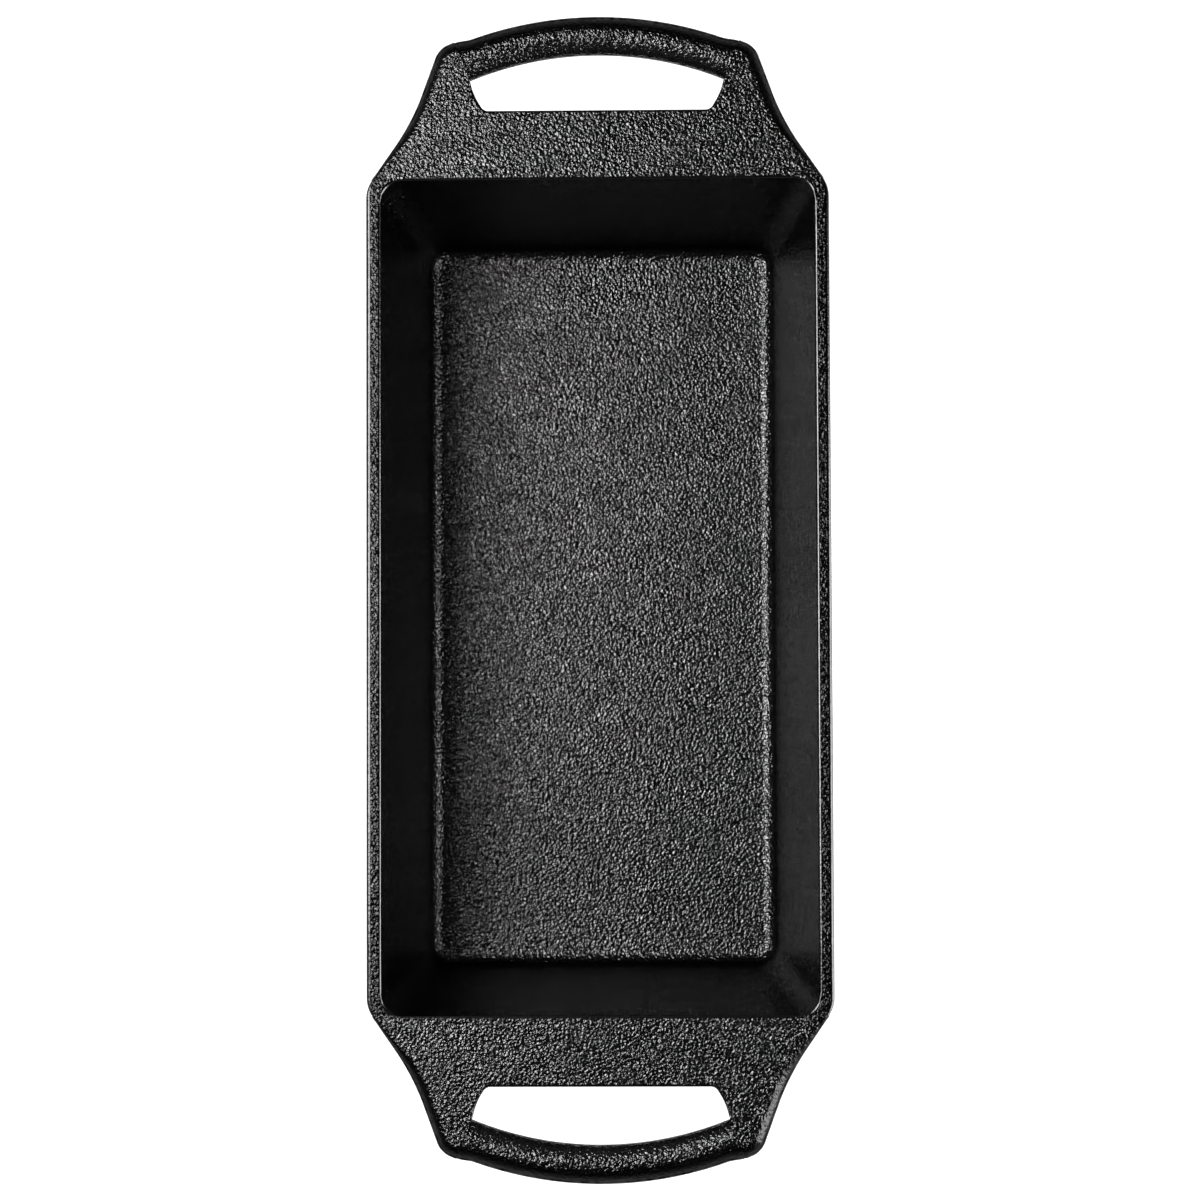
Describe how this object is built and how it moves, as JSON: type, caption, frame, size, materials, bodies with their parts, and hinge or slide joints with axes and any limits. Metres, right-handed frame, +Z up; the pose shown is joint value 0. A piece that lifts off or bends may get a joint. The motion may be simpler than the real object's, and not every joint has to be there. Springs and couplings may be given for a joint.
{
  "type": "loaf pan",
  "caption": "Cast iron loaf pan: a drafted rectangular tub with rounded corners and, at each end, a flat flared lug with a finger hole closed by an arched round grip.",
  "frame": {"origin": "centre of the underside of the base, on the surface that the pan stands on", "axes": "+Z up out of the mouth, +Y along the length towards the rear handle, +X to the right"},
  "size_m": [0.1284, 0.324, 0.0705],
  "materials": {
    "seasoned_iron": "as-cast pebbled surface under baked-on black seasoning, satin sheen"
  },
  "bodies": {
    "root": {"base_plate": "seasoned_iron", "side_wall_left": "seasoned_iron", "side_wall_right": "seasoned_iron", "end_wall_front": "seasoned_iron", "end_wall_rear": "seasoned_iron", "handle_web_front": "seasoned_iron", "handle_web_rear": "seasoned_iron", "handle_grip_front": "seasoned_iron", "handle_grip_rear": "seasoned_iron"}
  },
  "joints": []
}
